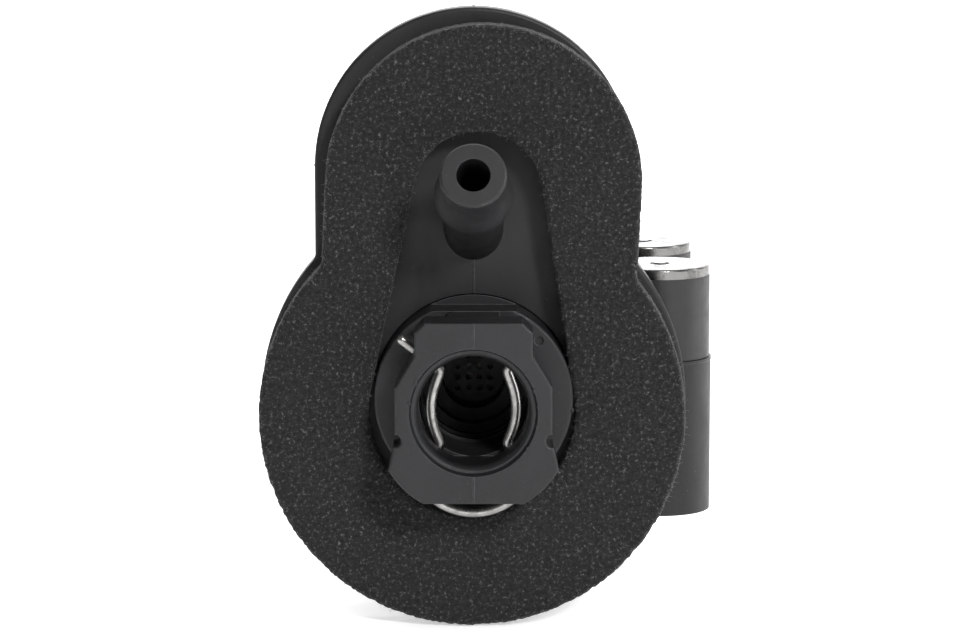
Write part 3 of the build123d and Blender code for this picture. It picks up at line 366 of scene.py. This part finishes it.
black_plastic = moulded_plastic("black_plastic", 0.010)
socket_plastic = moulded_plastic("socket_plastic", 0.013, rough=0.4, grain=0.045 * MM)
plug_plastic = moulded_plastic("plug_plastic", 0.016, rough=0.4)
coil_black = coil_plastic("coil_plastic", 0.021)
white_plastic = light_plastic("white_plastic", 0.78, (1.0, 0.99, 0.95))
grey_plastic = light_plastic("grey_plastic", 0.28, (0.98, 1.0, 1.03))
rubber = smooth_rubber("rubber", 0.014)
foam_black = cut_foam("foam", 0.0105)
wire = drawn_wire("spring_wire", 0.42)
stainless = turned_steel("stainless", 0.58, (1.0, 1.0, 1.01), 0.28)
screw_steel = turned_steel("screw_steel", 0.66, (1.0, 0.98, 0.93), 0.26)
tinned = turned_steel("tinned_brass", 0.74, (1.0, 0.96, 0.86), 0.24)
copper = copper_winding("copper")

MATERIALS = {
    "front_plate": black_plastic,
    "foam_seal": foam_black,
    "inlet_connector": socket_plastic,
    "retaining_clip": wire,
    "inlet_o_rings": rubber,
    "spigot_o_ring": rubber,
    "inlet_strainer": black_plastic,
    "flow_regulator_seat": grey_plastic,
    "flow_regulator_washer": rubber,
    "check_valve_cage": grey_plastic,
    "check_poppet": white_plastic,
    "check_poppet_seal": rubber,
    "check_spring": wire,
    "manifold_body": black_plastic,
    "manifold_gasket": rubber,
    "manifold_screws": screw_steel,
    "core_plugs": plug_plastic,
}
for tag in "ab":
    cap_steel = turned_steel(f"cap_steel_{tag}", 0.22, (1.0, 0.99, 0.96), 0.24, centre_of(f"coil_cap_{tag}"))
    MATERIALS[f"coil_cap_{tag}"] = cap_steel
    MATERIALS[f"coil_housing_{tag}"] = coil_black
    MATERIALS[f"coil_bobbin_{tag}"] = white_plastic
    MATERIALS[f"coil_winding_{tag}"] = copper
    MATERIALS[f"coil_terminals_{tag}"] = tinned
    MATERIALS[f"guide_tube_o_ring_{tag}"] = rubber
    MATERIALS[f"plunger_seal_{tag}"] = rubber
    MATERIALS[f"plunger_spring_{tag}"] = wire
    for part in ("yoke_sleeve", "fixed_core", "guide_tube", "plunger"):
        MATERIALS[f"{part}_{tag}"] = stainless


def dress_node(name, material):
    """Gives a CAD node its material, and smooths its curved faces without moving a vertex."""
    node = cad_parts[name]
    node.data.materials.clear()
    node.data.materials.append(material)
    node.data.shade_smooth()
    node.data.set_sharp_from_angle(angle=math.radians(28))


for node_name, material in MATERIALS.items():
    dress_node(node_name, material)


def new_piece(name, mesh, material, body=ROOT_BODY):
    """Links a finished mesh as a piece that rides on a CAD body."""
    piece = bpy.data.objects.new(name, mesh)
    bpy.context.scene.collection.objects.link(piece)
    mesh.materials.clear()
    mesh.materials.append(material)
    mesh.shade_smooth()
    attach(piece, body)
    return piece


def remeshed(node_name, voxel):
    """An even fine mesh over a CAD node's shape."""
    source = bpy.data.objects.new("remesh_source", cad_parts[node_name].data.copy())
    bpy.context.scene.collection.objects.link(source)
    remesh = source.modifiers.new("remesh", "REMESH")
    remesh.mode = "VOXEL"
    remesh.voxel_size = voxel
    bpy.context.view_layer.update()
    evaluated = source.evaluated_get(bpy.context.evaluated_depsgraph_get())
    mesh = bpy.data.meshes.new_from_object(evaluated)
    bpy.data.objects.remove(source)
    return mesh


def foam_depth(point):
    """How far the cut foam lies below its nominal face at a point: open cells and torn walls."""
    coarse = noise.noise(point / (2.0 * FOAM_CELL))
    fine = noise.noise(point / FOAM_CELL)
    pit = min(1.0, max(0.0, 0.35 + 0.8 * coarse + 1.1 * fine))
    return FOAM_PIT * pit + FOAM_ROUGH * noise.noise(point / (0.33 * MM))


def make_foam():
    """The foam seal as a fine mesh whose cells are real pits, and its loose fibres."""
    mesh = remeshed("foam_seal", FOAM_VOXEL)
    normals = [vertex.normal.copy() for vertex in mesh.vertices]
    for vertex, normal in zip(mesh.vertices, normals):
        vertex.co += normal * (FOAM_SWELL - foam_depth(vertex.co))
    mesh.update()
    foam = new_piece("foam_seal_cut", mesh, foam_black)
    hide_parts("foam_seal")
    rims = [
        (vertex.co.copy(), normal)
        for vertex, normal in zip(mesh.vertices, normals)
        if -0.93 < normal.y < -0.3
    ]
    make_hairs(rims)


def make_hairs(roots):
    """Fine curled fibres that the die leaves standing along the foam's cut edges."""
    rng = random.Random(7)
    low, high = cad_box
    hairs = bmesh.new()
    for root, normal in rng.sample(roots, min(HAIR_COUNT, len(roots))):
        lean = Vector([rng.uniform(-1, 1) for _ in range(3)])
        direction = (normal + 0.9 * lean).normalized()
        length = rng.uniform(*HAIR_LENGTH)
        curl = Vector([rng.uniform(-1, 1) for _ in range(3)])
        points = []
        for t in HAIR_STEPS:
            points.append(root + direction * length * t + curl * length * HAIR_CURL * t * t)
        inside = all(low[i] < point[i] < high[i] for point in points for i in range(3))
        if inside:
            add_fibre(hairs, points, HAIR_RADIUS)
    mesh = bpy.data.meshes.new("foam_fibres")
    hairs.to_mesh(mesh)
    hairs.free()
    fibre = Graph("foam_fibre")
    shade = fibre.noise(0.8 * MM, 2.0)
    colour = fibre.blend(fibre.spread(shade, 0.3, 0.7), grey(0.07), grey(0.30))
    fibre.set(Base_Color=colour, Roughness=fibre.spread(shade, 0.3, 0.7, 0.5, 0.8))
    new_piece("foam_fibres", mesh, fibre.material)


def add_fibre(builder, points, radius):
    """Adds a thin three-sided tube that tapers along points."""
    rings = []
    for i, point in enumerate(points):
        ahead = points[min(i + 1, len(points) - 1)] - points[max(i - 1, 0)]
        turn = ahead.to_track_quat("Z", "Y").to_matrix()
        size = radius * (1.0 - 0.6 * i / (len(points) - 1))
        corners = [Vector((math.cos(a), math.sin(a), 0)) * size for a in (0.0, 2.0944, 4.1888)]
        rings.append([builder.verts.new(point + turn @ corner) for corner in corners])
    for lower, upper in zip(rings, rings[1:]):
        for i in range(3):
            j = (i + 1) % 3
            builder.faces.new((lower[i], lower[j], upper[j], upper[i]))
    builder.faces.new(reversed(rings[0]))
    builder.faces.new(rings[-1])


def make_flash():
    """Small burrs of flash on the socket's lip and hub, where the mould halves meet."""
    rng = random.Random(3)
    low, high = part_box("inlet_connector")
    lip_radius = 8.9 * MM
    hub_radius = 13.86 * MM
    hub_front = -6.5 * MM
    burrs = [(lip_radius, low.y, angle, 0.22 * MM) for angle in (-34, -12, 6, 21, 38, 152, 171)]
    burrs += [(hub_radius, hub_front, -6.5, 0.34 * MM)]
    builder = bmesh.new()
    for radius, y, angle, size in burrs:
        turn = math.radians(angle)
        spot = Vector((radius * math.cos(turn), y + 0.4 * size, radius * math.sin(turn)))
        made = bmesh.ops.create_icosphere(builder, subdivisions=3, radius=size)["verts"]
        phase = Vector([rng.uniform(0, 9) for _ in range(3)])
        stretch = Vector((rng.uniform(0.7, 1.3), 0.6, rng.uniform(0.9, 1.9)))
        for vertex in made:
            bulge = 1.0 + 0.45 * noise.noise(vertex.co / (0.25 * MM) + phase)
            vertex.co = Vector(a * b for a, b in zip(vertex.co * bulge, stretch)) + spot
    mesh = bpy.data.meshes.new("mould_flash")
    builder.to_mesh(mesh)
    builder.free()
    new_piece("mould_flash", mesh, socket_plastic)


make_foam()
make_flash()


def make_stage():
    """Pale seamless floor that curves up into a back wall."""
    ground = cad_box[0].z - FLOOR_GAP
    steps = 24
    profile = [(-FLOOR_REACH, 0.0)]
    for i in range(steps + 1):
        angle = math.pi / 2 * i / steps
        profile.append((FLOOR_REACH + FLOOR_BEND * math.sin(angle), FLOOR_BEND * (1 - math.cos(angle))))
    profile.append((FLOOR_REACH + FLOOR_BEND, FLOOR_BEND + FLOOR_REACH))
    builder = bmesh.new()
    sides = []
    for x in (-2 * FLOOR_REACH, 2 * FLOOR_REACH):
        sides.append([builder.verts.new((x, y, ground + z)) for y, z in profile])
    for i in range(len(profile) - 1):
        builder.faces.new((sides[0][i], sides[1][i], sides[1][i + 1], sides[0][i + 1]))
    mesh = bpy.data.meshes.new("studio_floor")
    builder.to_mesh(mesh)
    builder.free()
    floor = bpy.data.objects.new("studio_floor", mesh)
    bpy.context.scene.collection.objects.link(floor)
    mesh.materials.append(studio_floor("studio_paper"))
    mesh.shade_smooth()


def add_light(name, place, target, size, power):
    """A white rectangular light at place that faces target."""
    data = bpy.data.lights.new(name, "AREA")
    data.shape = "RECTANGLE"
    data.size, data.size_y = size
    data.energy = power
    light = bpy.data.objects.new(name, data)
    light.location = place
    light.rotation_euler = (Vector(target) - Vector(place)).to_track_quat("-Z", "Y").to_euler()
    bpy.context.scene.collection.objects.link(light)


def make_lights():
    """Small key from the upper right, soft top and side lights, and one for the backdrop."""
    for name, (place, target, size, power) in LIGHTS.items():
        add_light(name, place, target, size, power)
    world = bpy.data.worlds.new("studio")
    world.use_nodes = True
    background = world.node_tree.nodes["Background"]
    background.inputs["Color"].default_value = (1.0, 1.0, 1.0, 1.0)
    background.inputs["Strength"].default_value = WORLD_STRENGTH
    bpy.context.scene.world = world


def make_camera():
    """Long-lens view of the front, looking slightly down."""
    tilt = math.radians(CAMERA_ELEVATION)
    back = Vector((0.0, -math.cos(tilt), math.sin(tilt)))
    data = bpy.data.cameras.new("camera")
    data.lens = CAMERA_LENS
    data.sensor_width = 36.0
    data.clip_start = 0.01
    data.clip_end = 20.0
    camera = bpy.data.objects.new("camera", data)
    camera.location = CAMERA_TARGET + back * CAMERA_DISTANCE
    camera.rotation_euler = (-back).to_track_quat("-Z", "Y").to_euler()
    bpy.context.scene.collection.objects.link(camera)
    bpy.context.scene.camera = camera


make_stage()
make_lights()
make_camera()
bpy.context.scene.view_settings.view_transform = "Standard"
